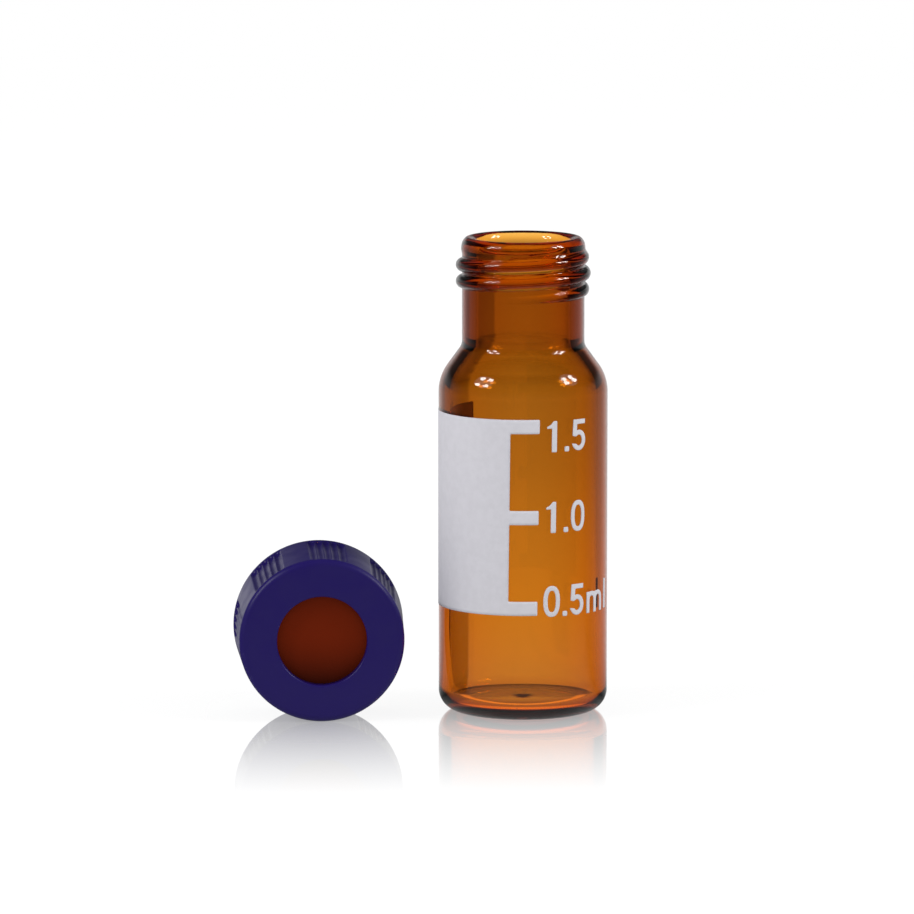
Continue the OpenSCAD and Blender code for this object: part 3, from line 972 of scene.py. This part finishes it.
def from_axes(x, y):
    """The lesser and the greater of the distances from the X and the Y axis."""
    x, y = abs(x), abs(y)
    return x.at_most(y), x.at_least(y)


def glancing(tree, back):
    """How bright gloss mirrors its surroundings, by the cosine of the angle from straight behind."""
    stops = [(0, 0.03), (0.17, 0.08), (0.34, 0.17), (0.5, 0.27), (0.64, 0.35)]
    stops += [(0.77, 0.52), (0.88, 0.75), (0.97, 0.75), (1, 0.35)]
    return tree.node("ShaderNodeValToRGB", {"stops": stops}, {0: back})


def mirror_share(tree, x, y, away):
    """How much of a mirror the sheet is: most at the vial and the cap, and none under the hollow base."""
    foot_r, reach, most = 4.3 * MM, 29 * MM, 0.6
    past_x, cap_y = x + 14 * MM, abs(y + 2.4 * MM) - 3.1 * MM
    near_cap = (past_x ** 2 + cap_y.at_least(0.0) ** 2).math("SQRT")
    near = (away - foot_r).at_most(near_cap).at_least(0.0)
    share = (1 - near / reach).at_least(0.0) ** 1.2 * most
    return share * tree.step(away, 3.7 * MM, 4.1 * MM)


def ring(tree, away, radius, inner, outer, level):
    """A level round a circle, with soft edges, and 1 elsewhere."""
    return tree.step(abs(away - radius), inner, outer, level, 1.0)


def sheet_through_glass(tree, x, y, away, path):
    """How bright the sheet looks through glass, with painted shadow and painted light round the foot and
    painted shadow behind on the left.
    """
    fade = [(0, 0.88), (0.1, 0.92), (0.2, 0.8), (0.29, 0.66), (0.4, 0.57), (0.6, 0.49), (1, 0.46)]
    fade_reach = 0.4
    lit = tree.node("ShaderNodeValToRGB", {"stops": fade}, {0: away / fade_reach})
    lesser, greater = from_axes(x, y)
    beside = tree.step((lesser - 20 * MM) / greater, 0.2, 0.5, 1.0, 0.75)

    # Painted shadow under the glass, with a painted ring of shadow behind the foot and a thin painted ring of
    # light before it
    painted_contact_shadow = ring(tree, away, 4.6 * MM, 1.3 * MM, 1.8 * MM, 0.12)
    painted_light_ring = ring(tree, away, 4.1 * MM, 0.3 * MM, 0.6 * MM, 2.6)
    at_back = tree.step(y, -0.5 * MM, 1.5 * MM)
    rings = painted_contact_shadow * at_back + painted_light_ring * (1 - at_back)
    painted_light_and_shade_at_foot = tree.step(away, 3 * MM, 6.5 * MM, 0.65, 1.0) * rings

    # Painted shadow: darker in a sector behind on the left
    leftwards = (-x - 3.8 * MM) / y.at_least(6 * MM)
    on_left = tree.step(leftwards, 0.11, 0.14) - tree.step(leftwards, 0.5, 0.65)
    painted_sector_shadow = 1 - on_left * tree.step(away, 0.1, 0.6, 0.4, 0.7)
    return lit * through_one_wall(path) * beside * painted_light_and_shade_at_foot * painted_sector_shadow


def make_floor():
    """A white sheet, which mirrors what stands on it, and less so further away."""
    mesh = bpy.data.meshes.new("floor")
    reach = 1.5
    corners = [(-reach, -reach, 0), (reach, -reach, 0), (reach, reach, 0), (-reach, reach, 0)]
    mesh.from_pydata(corners, [], [(0, 1, 2, 3)])
    floor = bpy.data.objects.new("floor", mesh)
    bpy.context.scene.collection.objects.link(floor)
    material, tree = new_material("white_floor")
    x, y, _ = tree.split(tree.node("ShaderNodeTexCoord").of("Object"))
    away = (x ** 2 + y ** 2).math("SQRT")
    path, in_glass, thrown = ray_kinds(tree)
    share = mirror_share(tree, x, y, away) * (1 - in_glass)
    behind = sheet_through_glass(tree, x, y, away, path)
    front_reach, front_light = 0.075, 0.55
    before = (1 - away / front_reach).at_least(0.0) ** 1.8 * front_light
    glance = glancing(tree, y / away).at_least(before * tree.step(y, 5 * MM, -5 * MM))
    level = (behind * (1 - thrown) + glance * thrown) * in_glass + (1 - in_glass)

    # Its own light hides most of a shadow near the vial, and all of it further away
    own = tree.step(away, 0.1, 0.5)
    grey = 0.238
    matt = level * (1 - own) * grey
    white = tree.node("ShaderNodeBsdfDiffuse", {}, {"Color": tree.join(matt, matt, matt)})
    strength = level * (own * 0.2 + 0.8) * (1 - path.of("Is Diffuse Ray") * 0.2)
    glow = tree.node("ShaderNodeEmission", {}, {"Strength": strength})
    mirror = tree.node("ShaderNodeBsdfGlossy", {}, {"Color": (1, 1, 1, 1), "Roughness": 0.0})
    sheet = tree.node("ShaderNodeAddShader", {}, {0: white, 1: glow})
    finish_material(tree, tree.node("ShaderNodeMixShader", {}, {0: share, 1: sheet, 2: mirror}))
    mesh.materials.append(material)


def make_world(scene):
    """White where it is seen, a backdrop of some width and height in glass, and a soft light for the rest."""
    world = bpy.data.worlds.new("studio")
    world.use_nodes = True
    world.node_tree.nodes.clear()
    tree = Tree(world.node_tree)
    x, y, z = tree.split(tree.node("ShaderNodeTexCoord").of("Generated"))
    path, in_glass, thrown = ray_kinds(tree)
    lesser, greater = from_axes(x, y)
    wide = tree.step(lesser / greater, 0.5, 0.2)
    fade = [(0, 0.46), (0.07, 0.5), (0.2, 0.55), (0.31, 0.46), (0.5, 0.25), (0.7, 0.08), (1, 0.05)]
    high = tree.node("ShaderNodeValToRGB", {"stops": fade}, {0: z})
    # Painted shadow: the backdrop seen through glass is darker in a sector behind on the left, like the sheet
    leftwards = -x / y.at_least(0.05)
    on_left = tree.step(leftwards, 0.11, 0.16) * tree.step(z, 0.5, 0.2)
    beyond, soft_light = 0.04, 0.7
    seen_through = (wide * (high - beyond) + beyond) * (1 - on_left * 0.65) * through_one_wall(path)
    # The sheet's mirror image of the glass looks up through it at a brighter backdrop
    mirrored = bounced(path, 4, 1) * tree.step(lesser / greater, 0.6, 0.4) * tree.step(z, 0.5, 0.3)
    seen_through = seen_through.at_least(mirrored * tree.step(z, 0.0, 0.04) * 1.15)
    glance = glancing(tree, y / (x ** 2 + y ** 2).math("SQRT")) * tree.step(z, 0.1, 0.3, 1.0, 0.13)
    backdrop = seen_through * (1 - thrown) + glance * thrown
    white = (path.of("Is Camera Ray") + path.of("Is Singular Ray") * (1 - in_glass)).at_most(1.0)
    strength = white + (1 - white) * (backdrop * in_glass + (1 - in_glass) * soft_light)
    shown = tree.node("ShaderNodeBackground", {}, {"Color": (1, 1, 1, 1), "Strength": strength})
    tree.node("ShaderNodeOutputWorld", {}, {"Surface": shown})
    scene.world = world


def make_lamps():
    """Two clusters of four round lamps in a wide dim bowl each, high on the left and on the right."""
    left = (-0.732, -0.252, 0.632), (-0.635, -0.421, 0.648), (-0.857, -0.279, 0.432), (-0.758, -0.482, 0.439)
    right = (0.79, -0.08, 0.608), (0.861, -0.074, 0.504), (0.815, -0.304, 0.493), (0.74, -0.26, 0.62)
    just_behind = 1.02
    for directions in (left, right):
        middle = sum((Vector(d) for d in directions), Vector()).normalized()
        add_lamp("soft_bowl", middle * just_behind, size=0.48, power=0.55)
        for direction in directions:
            add_lamp("soft_lamp", Vector(direction), size=0.135, power=0.72)


def add_lamp(name, away, size, power):
    """A round lamp that shines at a spot high in the vial, a little before its middle."""
    spot = Vector((0, -4 * MM, 23 * MM))
    data = bpy.data.lights.new(name, "AREA")
    data.shape = "DISK"
    data.size = size
    data.energy = power
    lamp = bpy.data.objects.new(name, data)
    lamp.location = away + spot
    lamp.rotation_euler = (-away).to_track_quat("-Z", "Y").to_euler()
    bpy.context.scene.collection.objects.link(lamp)


def make_camera(scene):
    """A long lens, a little above the vial."""
    tilt = 8.168
    data = bpy.data.cameras.new("camera")
    data.sensor_width = 36
    data.lens = 295.4
    data.clip_start = 0.01
    data.clip_end = 10
    camera = bpy.data.objects.new("camera", data)
    camera.location = (-4.498 * MM, -505.753 * MM, 89.986 * MM)
    camera.rotation_euler = (math.radians(90 - tilt), 0, 0)
    scene.collection.objects.link(camera)
    scene.camera = camera


class VIAL_PT_panel(Panel):
    """Lists the pieces of the vial and their sizes"""

    bl_label = "Sample vial"
    bl_space_type = "VIEW_3D"
    bl_region_type = "UI"
    bl_category = "Vial"

    def draw(self, context):
        for operator in PIECES:
            self.layout.operator(operator.bl_idname)
        for group in GROUPS:
            sizes = getattr(context.scene, group)
            for name in sizes.bl_rna.properties.keys():
                if name not in ("rna_type", "name"):
                    self.layout.prop(sizes, name)


GROUPS = {
    "vial_glass": VialGlassSizes,
    "vial_print": PrintSizes,
    "vial_cap": CapSizes,
    "vial_colours": FinishColours,
}
PIECES = (VIAL_OT_glass, VIAL_OT_patch, VIAL_OT_figures, VIAL_OT_cap, VIAL_OT_septum, VIAL_OT_stage)
CLASSES = (*GROUPS.values(), *PIECES, VIAL_PT_panel)


def register():
    for cls in CLASSES:
        bpy.utils.register_class(cls)
    for name, group in GROUPS.items():
        setattr(bpy.types.Scene, name, PointerProperty(type=group))


def unregister():
    for name in GROUPS:
        delattr(bpy.types.Scene, name)
    for cls in reversed(CLASSES):
        bpy.utils.unregister_class(cls)


def main():
    register()
    bpy.ops.vial.make_glass()
    bpy.ops.vial.make_patch()
    bpy.ops.vial.make_figures()
    bpy.ops.vial.make_cap()
    bpy.ops.vial.make_septum()
    bpy.ops.vial.make_stage()


if __name__ == "__main__":
    main()
